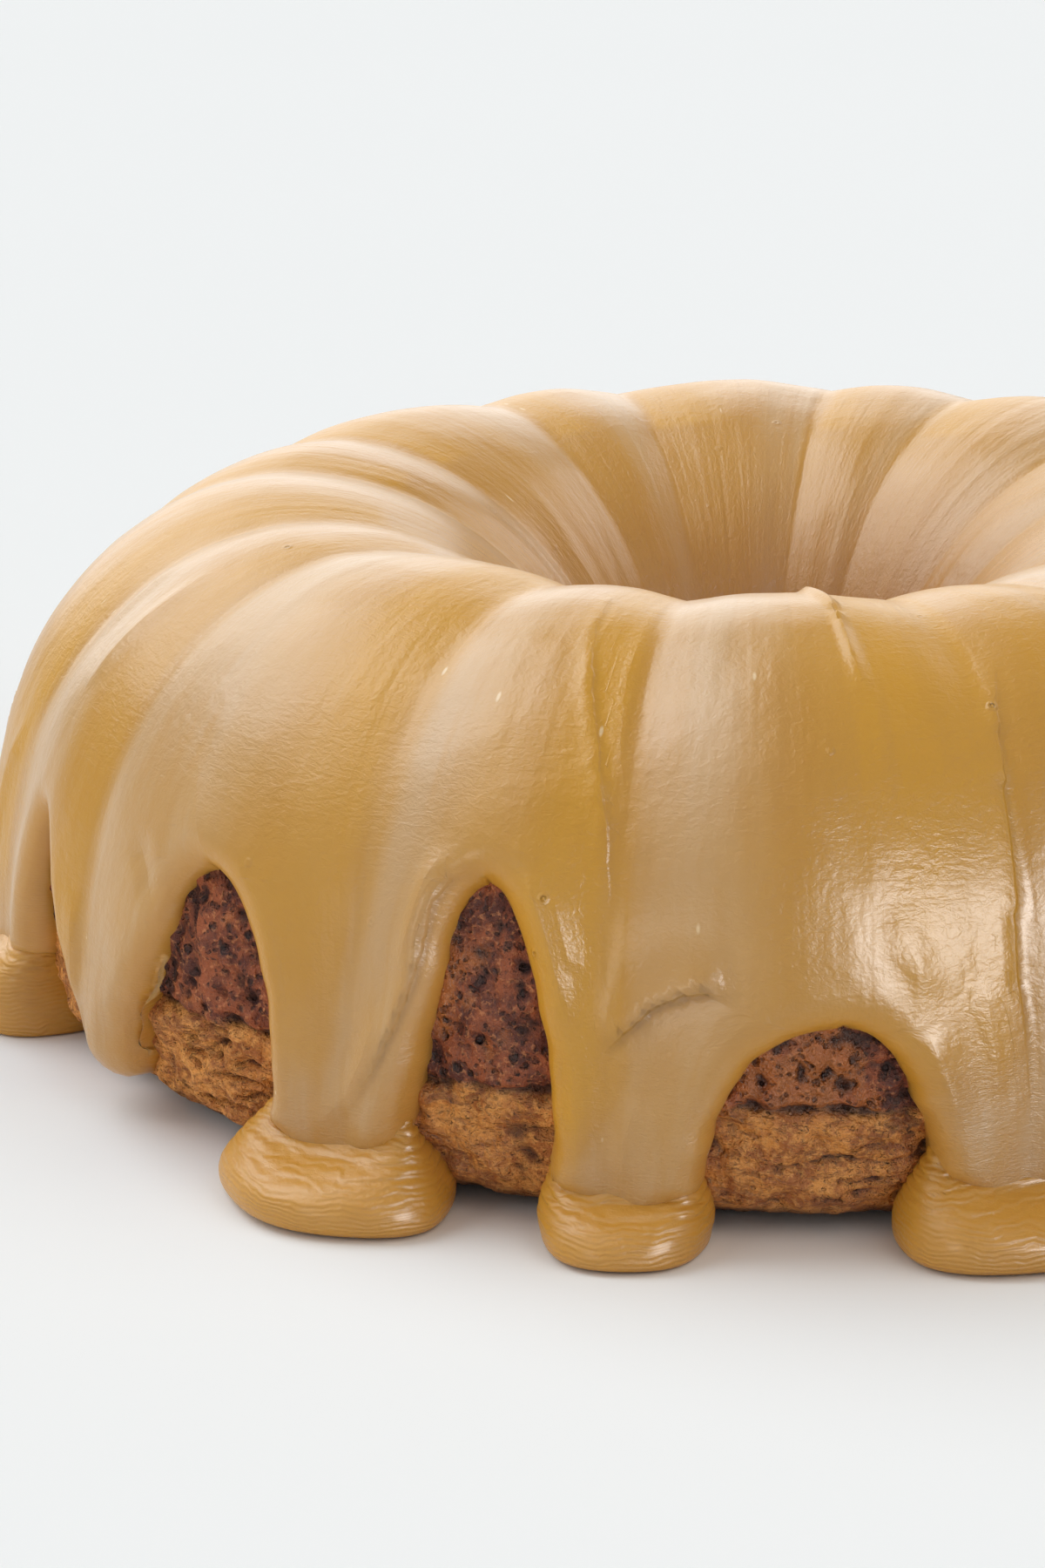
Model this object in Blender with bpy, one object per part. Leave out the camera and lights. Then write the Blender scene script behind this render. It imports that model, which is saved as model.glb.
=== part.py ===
"""Bundt cake under a poured caramel icing.

A fluted ring of cake stands on its flat base at z = 0, with its hole along Z. The icing is one
shell over the crest: it goes down into the hole, and runs down the outer side in drips with
arches between them. Most drips end in a foot, a flat puddle on the surface beside the cake.
"""

import math
from collections import namedtuple

import bmesh
import bpy

# The icing's outer form, in metres
ICED_RADIUS = 0.127
WIDEST_HEIGHT = 0.029
UNDERCUT = 0.003
CREST_RADIUS = 0.080
CREST_HEIGHT = 0.082
HOLE_RADIUS = 0.0216
HOLE_FLOOR = 0.020
OUTER_ROUNDNESS = 1.9
INNER_ROUNDNESS = 2.0
ICING_THICKNESS = 0.0045
GAP = 0.0003

# Flutes: each period holds a wide one and a narrow one
FLUTE_PAIRS = 8
WIDE_FLUTE_ANGLE = 94.4
WIDE_SHARE = 0.6
NARROW_HEIGHT = 0.75
FLUTE_MEAN = 0.55
ICING_FLUTE_SIDE = 0.0043
ICING_FLUTE_CREST = 0.0020
CAKE_FLUTE_SIDE = 0.0048
CAKE_FLUTE_CREST = 0.0030

# The bare cake below the icing: a rounded lower band under a ledge
BASE_RADIUS = 0.107
BAND_RADIUS = 0.1212
BAND_HEIGHT = 0.013
LEDGE_HEIGHT = 0.021
HOLE_TAPER = 0.001

# Where the drips end: inside a foot, and inside the hole
DRIP_END = 0.002
HOLE_EDGE = 0.024
HOLE_EDGE_WAVE = 0.005

# An arch is the gap between two drips: its crown, its two lower corners (degrees), its height,
# and how square each of its sides is
Arch = namedtuple("Arch", "crown left right height left_power right_power")
ARCHES = (
    Arch(206.5, 202.0, 215.0, 0.041, 1.2, 1.3),
    Arch(229.3, 219.5, 235.8, 0.045, 1.1, 2.4),
    Arch(251.7, 246.4, 256.6, 0.051, 1.1, 3.0),
    Arch(276.1, 266.8, 282.2, 0.033, 2.2, 2.2),
    Arch(299.0, 292.4, 306.2, 0.044, 1.3, 1.8),
    Arch(322.5, 315.8, 330.0, 0.037, 2.0, 1.3),
    Arch(347.0, 341.5, 353.0, 0.050, 1.2, 2.2),
    Arch(371.5, 364.0, 379.5, 0.040, 1.8, 1.4),
    Arch(396.0, 390.0, 401.5, 0.047, 2.4, 1.2),
    Arch(419.5, 412.0, 427.5, 0.035, 2.0, 2.0),
    Arch(443.5, 438.4, 449.5, 0.048, 1.2, 2.4),
    Arch(467.0, 459.8, 474.6, 0.042, 1.5, 1.5),
    Arch(491.5, 485.0, 497.2, 0.046, 1.4, 2.0),
    Arch(515.5, 508.5, 523.5, 0.036, 2.2, 1.6),
    Arch(541.0, 535.0, 546.5, 0.049, 1.3, 2.0),
)

# A foot is centred at an angle and radius; width runs round the cake, depth runs outwards
Foot = namedtuple("Foot", "angle radius width depth height")
FEET = (
    Foot(197.0, 0.1225, 0.034, 0.030, 0.0150),
    Foot(241.0, 0.1250, 0.036, 0.029, 0.0125),
    Foot(261.3, 0.1220, 0.024, 0.024, 0.0085),
    Foot(286.6, 0.1235, 0.033, 0.028, 0.0120),
    Foot(311.0, 0.1230, 0.027, 0.025, 0.0095),
    Foot(335.6, 0.1240, 0.034, 0.029, 0.0120),
    Foot(358.4, 0.1210, 0.026, 0.025, 0.0100),
    Foot(407.0, 0.1235, 0.032, 0.028, 0.0115),
    Foot(432.8, 0.1225, 0.028, 0.026, 0.0090),
    Foot(454.6, 0.1210, 0.030, 0.025, 0.0110),
    Foot(502.8, 0.1240, 0.035, 0.029, 0.0125),
    Foot(529.2, 0.1225, 0.027, 0.025, 0.0095),
)

# Drips that hang clear of the surface: the angle of the tip and its height
TIPS = {217.3: 0.0035, 384.8: 0.0060, 479.8: 0.0045}

# Rows and columns of the lofts: columns across an arch (share of each half) and a drip, rows up
# the outer side and down the hole
ARCH_STEPS = (-1.0, -0.72, 0.0, 0.72, 1.0)
DRIP_STEPS = (0.33, 0.67)
OUTER_ROWS = (0.42, 0.60, 0.79, 1.0)
HOLE_ROWS = (0.20, 0.48, 0.76)
CAKE_ROWS = (0.20, 0.46, 0.72, 1.0, 1.42, 2.0)

CAKE_COLOUR = (0.235, 0.085, 0.045, 1.0)
ICING_COLOUR = (0.565, 0.330, 0.130, 1.0)


def flute(angle):
    """Height of the fluting at an angle in degrees, as a share of its amplitude."""
    period = 360.0 / FLUTE_PAIRS
    offset = abs((angle - WIDE_FLUTE_ANGLE + period / 2) % period - period / 2)
    half_wide = WIDE_SHARE * period / 2
    if offset < half_wide:
        return math.cos(offset / half_wide * math.pi / 2) - FLUTE_MEAN
    share = (period / 2 - offset) / (period / 2 - half_wide)
    return NARROW_HEIGHT * math.cos(share * math.pi / 2) - FLUTE_MEAN


def iced_profile(place):
    """Point (r, z) and outward normal of the icing's mean surface.

    place runs from -1 at the base, by 0 at the widest line and 1 at the crest, to 2 low in the
    hole, and to 3 at the base inside the hole.
    """
    def point(value):
        if value < 0:
            return ICED_RADIUS - UNDERCUT * value * value, WIDEST_HEIGHT * (1 + value)
        if value <= 1:
            turn = value * math.pi / 2
            power = 2 / OUTER_ROUNDNESS
            r = CREST_RADIUS + (ICED_RADIUS - CREST_RADIUS) * math.cos(turn) ** power
            return r, WIDEST_HEIGHT + (CREST_HEIGHT - WIDEST_HEIGHT) * math.sin(turn) ** power
        if value <= 2:
            turn = (2 - value) * math.pi / 2
            power = 2 / INNER_ROUNDNESS
            r = CREST_RADIUS - (CREST_RADIUS - HOLE_RADIUS) * math.cos(turn) ** power
            return r, HOLE_FLOOR + (CREST_HEIGHT - HOLE_FLOOR) * math.sin(turn) ** power
        return HOLE_RADIUS, HOLE_FLOOR * (3 - value)

    step = 0.01
    (r_before, z_before), (r_after, z_after) = point(place - step), point(place + step)
    length = math.hypot(r_after - r_before, z_after - z_before)
    normal = ((z_after - z_before) / length, (r_before - r_after) / length)
    return point(place), normal


def surface(place, angle, inset, side, crest):
    """Point (r, z) set in from the icing's mean surface, with its flutes."""
    (r, z), (normal_r, normal_z) = iced_profile(place)
    crest_share = min(max((place + 1) / 2, 0.0), 1.0)
    hole_fade = 1.0 if place < 1 else max(0.0, 2.2 - place) / 1.2
    amplitude = (side + (crest - side) * crest_share) * hole_fade
    lift = amplitude * flute(angle) - inset
    return r + normal_r * lift, z + normal_z * lift


def place_at_height(height):
    """Place on the outer side where the icing's mean surface has a height."""
    if height < WIDEST_HEIGHT:
        return height / WIDEST_HEIGHT - 1
    share = (height - WIDEST_HEIGHT) / (CREST_HEIGHT - WIDEST_HEIGHT)
    return math.asin(share ** (OUTER_ROUNDNESS / 2)) * 2 / math.pi


def edge_stations():
    """Angles round the cake, each with the height of the icing's lower edge there."""
    stations = []
    for arch, following in zip(ARCHES, ARCHES[1:] + ARCHES[:1]):
        for step in ARCH_STEPS:
            side = arch.left if step < 0 else arch.right
            power = arch.left_power if step < 0 else arch.right_power
            rise = (1 - abs(step) ** power) ** 0.75
            angle = arch.crown + abs(step) * (side - arch.crown)
            stations.append((angle, DRIP_END + (arch.height - DRIP_END) * rise))
        start = arch.right
        end = following.left if following.left > start else following.left + 360
        for step in DRIP_STEPS:
            stations.append((start + step * (end - start), DRIP_END))
    return [(angle, height + tip_rise(angle)) for angle, height in stations]


def tip_rise(angle):
    """How far a drip without a foot stays above the surface."""
    for tip, height in TIPS.items():
        distance = abs(angle - tip)
        if distance < 5:
            return height - DRIP_END + 0.0004 * distance ** 2
    return 0.0


def hole_edge_place(angle):
    """Place in the hole where the icing ends, which waves round the hole."""
    turn = math.radians(angle)
    height = HOLE_EDGE + HOLE_EDGE_WAVE * (math.sin(3 * turn + 1) + 0.5 * math.sin(7 * turn)) / 1.5
    share = (height - HOLE_FLOOR) / (CREST_HEIGHT - HOLE_FLOOR)
    if share <= 0:
        return 3 - height / HOLE_FLOOR
    return 2 - math.asin(share ** (INNER_ROUNDNESS / 2)) * 2 / math.pi


def icing_section(angle, edge):
    """Closed outline of the icing at one angle, running in under the cake's surface."""
    start = place_at_height(edge)
    end = hole_edge_place(angle)

    def skin(place, inset):
        return surface(place, angle, inset, ICING_FLUTE_SIDE, ICING_FLUTE_CREST)

    buried = ICING_THICKNESS + 0.003
    outline = [skin(start, buried), skin(start, 0.6 * ICING_THICKNESS)]
    outline.append(skin(start + 0.06, 0.1 * ICING_THICKNESS))
    outline.append(skin(0.5 * (start + OUTER_ROWS[0]), 0.0))
    for place in OUTER_ROWS:
        outline.append(skin(place, 0.0))
    for share in HOLE_ROWS:
        outline.append(skin(1 + share * (end - 1), 0.0))
    outline.append(skin(end, 0.4 * ICING_THICKNESS))
    outline.append(skin(end, buried))
    outline.append(skin(1.0, buried + 0.004))
    return outline


def cake_section(angle, clearance):
    """Closed outline of the cake at one angle, grown by a clearance."""
    sway = flute(angle) * CAKE_FLUTE_SIDE
    inset = ICING_THICKNESS + GAP - clearance
    hole = surface(2.0, angle, inset, CAKE_FLUTE_SIDE, CAKE_FLUTE_CREST)[0]
    outline = [
        (hole + HOLE_TAPER, -clearance),
        (BASE_RADIUS + 0.2 * sway, -clearance),
        (BASE_RADIUS + 0.0075 + 0.3 * sway + clearance, 0.0028),
        (BAND_RADIUS - 0.002 + 0.5 * sway + clearance, 0.0075),
        (BAND_RADIUS + 0.7 * sway + clearance, BAND_HEIGHT),
    ]
    for place in (place_at_height(LEDGE_HEIGHT),) + CAKE_ROWS:
        outline.append(surface(place, angle, inset, CAKE_FLUTE_SIDE, CAKE_FLUTE_CREST))
    return outline


def lofted_ring(name, angles, sections):
    """Closed ring lofted through one outline per angle."""
    form = bmesh.new()
    rings = []
    for angle, section in zip(angles, sections):
        turn = math.radians(angle)
        rings.append([form.verts.new((r * math.cos(turn), r * math.sin(turn), z)) for r, z in section])
    for here, there in zip(rings, rings[1:] + rings[:1]):
        for index in range(len(here)):
            after = (index + 1) % len(here)
            form.faces.new((here[index], there[index], there[after], here[after]))
    bmesh.ops.recalc_face_normals(form, faces=form.faces)
    mesh = bpy.data.meshes.new(name)
    form.to_mesh(mesh)
    form.free()
    return bpy.data.objects.new(name, mesh)


def puddle_feet():
    """One mesh with every foot: a squashed ball with its underside cut flat at the surface."""
    form = bmesh.new()
    for foot in FEET:
        turn = math.radians(foot.angle)
        centre_height = 0.42 * foot.height
        ball = bmesh.ops.create_uvsphere(form, u_segments=12, v_segments=6, radius=1.0)["verts"]
        for vert in ball:
            outward = vert.co.x * foot.depth / 2
            around = vert.co.y * foot.width / 2
            up = centre_height + vert.co.z * (foot.height - centre_height)
            r = foot.radius + outward
            vert.co.x = r * math.cos(turn) - around * math.sin(turn)
            vert.co.y = r * math.sin(turn) + around * math.cos(turn)
            vert.co.z = up
    geometry = form.verts[:] + form.edges[:] + form.faces[:]
    cut = bmesh.ops.bisect_plane(form, geom=geometry, dist=1e-7, plane_co=(0, 0, 0),
                                 plane_no=(0, 0, 1), clear_inner=True)
    rim = [item for item in cut["geom_cut"] if isinstance(item, bmesh.types.BMEdge)]
    bmesh.ops.edgeloop_fill(form, edges=rim)
    bmesh.ops.recalc_face_normals(form, faces=form.faces)
    mesh = bpy.data.meshes.new("feet")
    form.to_mesh(mesh)
    form.free()
    return bpy.data.objects.new("feet", mesh)


def material(name, colour, roughness):
    """Plain surface with a colour and a roughness."""
    surface_material = bpy.data.materials.new(name)
    surface_material.use_nodes = True
    shader = surface_material.node_tree.nodes["Principled BSDF"]
    shader.inputs["Base Color"].default_value = colour
    shader.inputs["Roughness"].default_value = roughness
    shader.inputs["Metallic"].default_value = 0.0
    return surface_material


def combine(target, tool, operation):
    """Boolean of a tool that stays in the scene as a guide."""
    modifier = target.modifiers.new(operation.lower(), "BOOLEAN")
    modifier.object = tool
    modifier.operation = operation
    modifier.solver = "EXACT"
    tool.hide_render = True
    tool.display_type = "WIRE"


def build():
    """Cake and icing in one collection, and the shapes that cut or join in another."""
    for item in list(bpy.data.objects):
        bpy.data.objects.remove(item, do_unlink=True)
    parts = bpy.data.collections.new("bundt_cake")
    cutters = bpy.data.collections.new("cutters")
    bpy.context.scene.collection.children.link(parts)
    bpy.context.scene.collection.children.link(cutters)

    stations = edge_stations()
    angles = [angle for angle, _ in stations]
    cake = lofted_ring("cake", angles, [cake_section(angle, 0.0) for angle in angles])
    clearance = lofted_ring("cake_clearance", angles, [cake_section(angle, GAP) for angle in angles])
    icing = lofted_ring("icing", angles, [icing_section(*station) for station in stations])
    feet = puddle_feet()
    for item in (cake, icing):
        parts.objects.link(item)
        item.data.shade_smooth()
    for item in (clearance, feet):
        cutters.objects.link(item)
    combine(icing, feet, "UNION")
    combine(icing, clearance, "DIFFERENCE")
    cake.data.materials.append(material("cake", CAKE_COLOUR, 0.75))
    icing.data.materials.append(material("icing", ICING_COLOUR, 0.35))


build()
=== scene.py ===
"""Bundt cake under poured caramel icing: the visual pieces round its CAD frame."""

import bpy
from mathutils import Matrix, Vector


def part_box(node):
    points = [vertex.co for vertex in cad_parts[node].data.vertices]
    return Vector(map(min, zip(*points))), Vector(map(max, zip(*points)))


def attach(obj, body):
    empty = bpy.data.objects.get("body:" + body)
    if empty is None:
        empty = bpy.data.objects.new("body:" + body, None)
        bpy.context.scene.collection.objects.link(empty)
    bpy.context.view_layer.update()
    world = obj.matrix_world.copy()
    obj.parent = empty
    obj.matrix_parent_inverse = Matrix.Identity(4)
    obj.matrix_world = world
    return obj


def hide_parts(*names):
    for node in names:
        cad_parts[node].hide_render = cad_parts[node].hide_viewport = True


bl_info = {
    "name": "Bundt Cake",
    "version": (1, 0, 0),
    "blender": (4, 5, 0),
    "location": "3D View > Sidebar > Bundt Cake",
    "description": "Models a fluted ring cake with poured caramel icing and its studio",
    "category": "Add Mesh",
}

import math
import random
from collections import namedtuple

import bpy
import numpy as np
from mathutils import Matrix, Vector, kdtree, noise

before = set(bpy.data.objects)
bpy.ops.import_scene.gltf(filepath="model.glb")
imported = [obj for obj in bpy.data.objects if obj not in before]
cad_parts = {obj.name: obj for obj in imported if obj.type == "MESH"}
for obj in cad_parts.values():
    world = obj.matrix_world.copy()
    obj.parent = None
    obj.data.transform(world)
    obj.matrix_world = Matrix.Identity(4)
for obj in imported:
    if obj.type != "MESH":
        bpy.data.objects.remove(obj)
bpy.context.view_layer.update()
ICING_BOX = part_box("icing")
MM = 0.001

# ---- The run of the icing: arches, drips and feet, at angles in degrees round the cake

# An arch is the gap between two drips. Its sides are widths in degrees from the crown, at
# ARCH_DEPTHS, shares of the way from the crown down to the drips' ends.
Arch = namedtuple("Arch", "crown height left right")
ARCH_DEPTHS = (0.0, 0.12, 0.35, 0.65, 1.0)
ARCHES = (
    Arch(206.5, 41, (1.2, 2.2, 3.4, 4.6), (1.8, 3.8, 6.4, 7.8)),
    Arch(229.6, 45.6, (2.9, 4.6, 7.6, 10.2), (3.5, 5.7, 6.5, 5.6)),
    Arch(251.7, 51.6, (1.9, 2.8, 4.3, 6.2), (2.6, 4.3, 5.1, 4.7)),
    Arch(276, 33.6, (4.3, 7, 8.6, 9.2), (2.8, 4.5, 6, 6.4)),
    Arch(299, 44, (1.8, 3.3, 5.2, 6.8), (2, 3.8, 6, 7.2)),
    Arch(322.5, 37, (2.4, 4.4, 6, 6.6), (1.8, 3.4, 5.8, 7.6)),
    Arch(347, 50, (1.5, 2.7, 4.2, 5.6), (2.3, 4, 5.6, 6)),
    Arch(371.5, 40, (2.3, 4.2, 6.4, 7.5), (1.9, 3.6, 6.2, 9.4)),
    Arch(396, 47, (2.4, 4.2, 5.8, 6.2), (1.4, 2.6, 4, 5.6)),
    Arch(419.5, 35, (2.7, 5, 6.9, 7.6), (2.6, 4.9, 7, 7.9)),
    Arch(443.5, 48, (1.6, 2.7, 4, 5.2), (2.4, 4.2, 5.8, 6)),
    Arch(467, 42, (1.9, 3.5, 5.6, 7.3), (2, 3.9, 6.8, 9.6)),
    Arch(491.5, 46, (1.8, 3.6, 6.4, 8.6), (2, 3.6, 5.3, 5.8)),
    Arch(515.5, 36, (2.7, 4.8, 6.5, 7.1), (2.2, 4.2, 6.6, 8)),
    Arch(541, 49, (1.6, 2.9, 4.6, 6), (2.1, 3.6, 5.2, 5.6)),
)

# The drip after each arch ends in a foot (a puddle's width, depth, height and its middle's radius
# in mm), or in a tip that hangs clear
Foot = namedtuple("Foot", "width depth height radius")
Tip = namedtuple("Tip", "clearance")
ENDS = (
    Tip(3),
    Foot(39, 28, 10.5, 125),
    Foot(25, 24, 8.5, 123.5),
    Foot(36, 28, 11, 124.5),
    Foot(27, 25, 9.5, 122.5),
    Foot(34, 28, 12, 124),
    Foot(26, 25, 10, 121.5),
    Tip(5.5),
    Foot(32, 27, 11.5, 123.5),
    Foot(28, 26, 9, 122.5),
    Foot(30, 25, 11, 121.5),
    Tip(4),
    Foot(35, 28, 12.5, 124),
    Foot(27, 25, 9.5, 122.5),
    Foot(35, 29, 14.5, 122.5),
)
DRIPS = len(ARCHES)


# ---- Settings

def length(name, text, default):
    return bpy.props.FloatProperty(name=name, description=text, default=default,
                                   unit="LENGTH", precision=4)


def share(name, text, default):
    return bpy.props.FloatProperty(name=name, description=text, default=default)


def colour(name, text, default):
    return bpy.props.FloatVectorProperty(name=name, description=text, default=default,
                                         subtype="COLOR", size=3, min=0.0, max=1.0)


class RingSettings(bpy.types.PropertyGroup):
    """Form of the iced ring."""
    iced_radius: length("Iced radius", "Outer radius at the widest line", 0.127)
    widest_height: length("Widest height", "Height of the widest line", 0.029)
    undercut: length("Undercut", "How far the side draws in below", 0.003)
    crest_radius: length("Crest radius", "Radius of the crest", 0.080)
    crest_height: length("Crest height", "Height of the crest", ICING_BOX[1][2] - 0.0009)
    hole_radius: length("Hole radius", "Radius of the icing low in the hole", 0.0216)
    hole_floor: length("Hole floor", "Where the hole stops narrowing", 0.020)
    outer_roundness: share("Outer roundness", "Exponent of the outer curve", 1.9)
    inner_roundness: share("Inner roundness", "Exponent of the inner curve", 2.0)
    flute_pairs: bpy.props.IntProperty(name="Flute pairs", description="Wide and narrow flutes",
                                       default=8)
    wide_flute_angle: share("Wide flute angle", "Angle of a wide flute, degrees", 94.4)
    wide_share: share("Wide share", "Wide flute's share of a pair", 0.6)
    narrow_height: share("Narrow height", "Narrow flute against a wide one", 0.75)


class IcingSettings(bpy.types.PropertyGroup):
    """Poured caramel icing."""
    thickness: length("Thickness", "Thickness over the cake", 0.0045)
    lip: length("Lip", "Width of the rounded edges", 0.0052)
    swell: length("Swell", "Extra thickness at a drip's end", 0.0040)
    tip_swell: length("Tip swell", "Extra thickness of a hanging tip", 0.0006)
    flute_side: length("Flute at the side", "Height of the flutes at the side", 0.0043)
    flute_crest: length("Flute at the crest", "Height of the flutes at the crest", 0.0020)
    hole_edge: length("Hole edge", "Where the icing ends in the hole", 0.024)
    tint: colour("Tint", "Colour of the caramel", (0.490, 0.220, 0.014))
    pale: colour("Pale", "Paler streaks of the caramel", (0.570, 0.285, 0.034))
    # Painted light: gold for the flute sides in shade from the window light, where only warm light
    # falls and no sheen
    gold: colour("Gold", "Clearer, golden streaks", (0.620, 0.300, 0.010))
    # Painted sheen: the pale colour where a flute side faces the window light, and low down for the
    # pale floor's reflection
    bloom: colour("Bloom", "Colour of the sugar bloom", (0.560, 0.385, 0.235))
    # Rim: brighter gold painted along the rounded edges, a painted glow for light through the thin
    # icing that also lifts the shade where the edge turns down; on the feet it is their own more
    # golden colour
    rim: colour("Rim", "Colour of the rounded edges", (0.650, 0.298, 0.026))


class CakeSettings(bpy.types.PropertyGroup):
    """Baked cake under the icing."""
    flute_side: length("Flute at the side", "Height of the flutes at the side", 0.0048)
    flute_crest: length("Flute at the crest", "Height of the flutes at the crest", 0.0030)
    base_radius: length("Base radius", "Radius of the flat base", 0.107)
    band_radius: length("Band radius", "Widest radius of the lower band", 0.1216)
    band_height: length("Band height", "Height of the band's widest line", 0.0125)
    ledge: length("Ledge", "Height of the ledge under the dark crust", 0.0205)
    crust: colour("Crust", "Dark crust", (0.115, 0.021, 0.008))
    band: colour("Band", "Lighter crumbly band", (0.86, 0.345, 0.070))


class StudioSettings(bpy.types.PropertyGroup):
    """Camera and light."""
    distance: length("Distance", "Camera's distance", 0.6443)
    aim_height: length("Aim height", "Height the camera orbits", 0.040)
    elevation: share("Elevation", "Camera's rise, degrees", 16.84)
    pitch: share("Pitch", "Camera's tilt down, degrees", 17.73)
    pan: share("Pan", "Camera's turn to the left, degrees", 3.68)
    roll: share("Roll", "Camera's roll, degrees", -0.41)
    lens: share("Lens", "Focal length, mm", 86.8)


# ---- The ring's form: a place runs from -1 at the base, by 0 at the widest line and 1 at the
# crest, to 2 low in the hole and 3 at the base inside it

def flute(ring, angle):
    """Height of the fluting at angles in degrees, as a share of its amplitude."""
    period = 360.0 / ring.flute_pairs
    offset = np.abs((angle - ring.wide_flute_angle + period / 2) % period - period / 2)
    half_wide = ring.wide_share * period / 2
    wide = np.cos(np.clip(offset / half_wide, 0, 1) * np.pi / 2)
    narrow = np.cos(np.clip((period / 2 - offset) / (period / 2 - half_wide), 0, 1) * np.pi / 2)
    return np.where(offset < half_wide, wide, ring.narrow_height * narrow) - 0.55


def mean_point(ring, place):
    """Radius and height of the icing's mean surface."""
    place = np.asarray(place, float)
    turn = np.clip(np.where(place <= 1, place, 2 - place), 0, 1) * np.pi / 2
    power = np.where(place <= 1, 2 / ring.outer_roundness, 2 / ring.inner_roundness)
    across, up = np.cos(turn) ** power, np.sin(turn) ** power
    rim = np.where(place <= 1, ring.iced_radius, ring.hole_radius)
    foot = np.where(place <= 1, ring.widest_height, ring.hole_floor)
    r = ring.crest_radius + (rim - ring.crest_radius) * across
    z = foot + (ring.crest_height - foot) * up
    r = np.where(place < 0, ring.iced_radius - ring.undercut * place * place, r)
    z = np.where(place < 0, ring.widest_height * (1 + place), z)
    return r, np.where(place > 2, ring.hole_floor * (3 - place), z)


def mean_normal(ring, place):
    """Outward normal (r, z) of the icing's mean surface."""
    step = 0.01
    r_before, z_before = mean_point(ring, place - step)
    r_after, z_after = mean_point(ring, place + step)
    span = np.hypot(r_after - r_before, z_after - z_before)
    return (z_after - z_before) / span, (r_before - r_after) / span


def flute_height(ring, place, angle, side, crest):
    """Height of the flutes above the mean surface, fading out in the hole."""
    along = np.clip((place + 1) / 2, 0, 1)
    fade = np.where(place < 1, 1.0, np.clip((2.2 - place) / 1.2, 0, 1))
    return (side + (crest - side) * along) * fade * flute(ring, angle)


def side_place(ring, height, foot, roundness):
    """Place at a height on a side that curves up from a foot, as on the outer side."""
    rise = np.clip((height - foot) / (ring.crest_height - foot), 0, 1)
    upper = np.arcsin(rise ** (roundness / 2)) * 2 / np.pi
    return np.where(height < foot, height / foot - 1, upper)


def outer_place(ring, height):
    return side_place(ring, height, ring.widest_height, ring.outer_roundness)


def hole_place(ring, height):
    return 2 - side_place(ring, height, ring.hole_floor, ring.inner_roundness)


def turned(radius, angle, height):
    """Points from their radius, angle and height."""
    turn = np.radians(angle)
    return np.stack(np.broadcast_arrays(radius * np.cos(turn), radius * np.sin(turn), height), -1)


def cake_skin(ring, icing, cake, place, angle, lift=0.0):
    """Points at a lift above the cake's surface under the icing."""
    r, z = mean_point(ring, place)
    normal_r, normal_z = mean_normal(ring, place)
    lift = lift + flute_height(ring, place, angle, cake.flute_side, cake.flute_crest) - icing.thickness
    return turned(r + normal_r * lift, angle, z + normal_z * lift)


def smooth(value):
    """Smooth step from 0 to 1."""
    value = np.clip(value, 0, 1)
    return value * value * (3 - 2 * value)


def grain(points, size, seed, octaves=2, stretch=(1, 1, 1)):
    """Fractal noise, about -1 to 1, with features of a size in metres."""
    scaled = np.asarray(points, float) * (np.array(stretch) / size) + seed * 17.3
    return np.array([noise.fractal(Vector(p), 1.0, 2.0, octaves) for p in scaled.tolist()])


# ---- The icing's shell

UPPER_ROWS = 84
LOWER_ROWS = 44
COLUMNS = 44
BLOCK = 4
HOLE_ROWS_SHARE = 0.40
LINING_LIFT = -2.4 * MM
FLOW_RADIUS, FLOW_HEIGHT = 0.12, 0.065


def curve(knots, values, at):
    """Smooth curve through values at knots."""
    knots, values = np.asarray(knots, float), np.asarray(values, float)
    slopes = np.gradient(values, knots)
    cell = np.clip(np.searchsorted(knots, at, side="right") - 1, 0, len(knots) - 2)
    span = knots[cell + 1] - knots[cell]
    t = (at - knots[cell]) / span
    start, end = values[cell], values[cell + 1]
    return ((2 * t ** 3 - 3 * t ** 2 + 1) * start + (t ** 3 - 2 * t ** 2 + t) * span * slopes[cell]
            + (3 * t ** 2 - 2 * t ** 3) * end + (t ** 3 - t ** 2) * span * slopes[cell + 1])


def side_angle(widths, depth):
    """Width of an arch's side at depths below its crown, smooth with a round crown."""
    return curve(np.sqrt(ARCH_DEPTHS), (0.0,) + widths, np.sqrt(np.clip(depth, 0, 1)))


def drip_sides(number):
    """The arches on both sides of a drip, the second one's crown after the first one's."""
    first, second = ARCHES[number], ARCHES[(number + 1) % DRIPS]
    after = second.crown if second.crown > first.crown else second.crown + 360
    return first, second, after


def drip_end(number, across):
    """Height of a drip's end at places 0 to 1 across it, in metres."""
    end = ENDS[number]
    aside = np.abs(2 * across - 1)
    middle = 1 - aside ** 2
    if isinstance(end, Tip):
        return (end.clearance + 10.0 * (1 - np.sqrt(np.clip(middle, 0, 1)))) * MM
    wave = 0.12 * np.sin(5 * across + number) + 0.08 * np.sin(11 * across + 2 * number)
    return end.height * (0.24 + 0.76 * aside ** 1.5 + wave * middle) * MM


def drip_angles(number, across, left_height, right_height):
    """Angles of places across a drip, between its sides at two heights."""
    first, second, after = drip_sides(number)
    low = 2.0 * MM
    left_depth = (first.height * MM - left_height) / (first.height * MM - low)
    right_depth = (second.height * MM - right_height) / (second.height * MM - low)
    left = first.crown + side_angle(first.right, left_depth) + side_wobble(left_depth, number)
    right = after - side_angle(second.left, right_depth) + side_wobble(right_depth, number + 0.5)
    return left + (right - left) * across


def side_wobble(depth, seed):
    """Small waves in degrees along a drip's side."""
    wave = np.sin(23 * depth + 5 * seed) + 0.7 * np.sin(41 * depth + 11 * seed)
    return 0.07 * wave * smooth(depth / 0.25)


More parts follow.
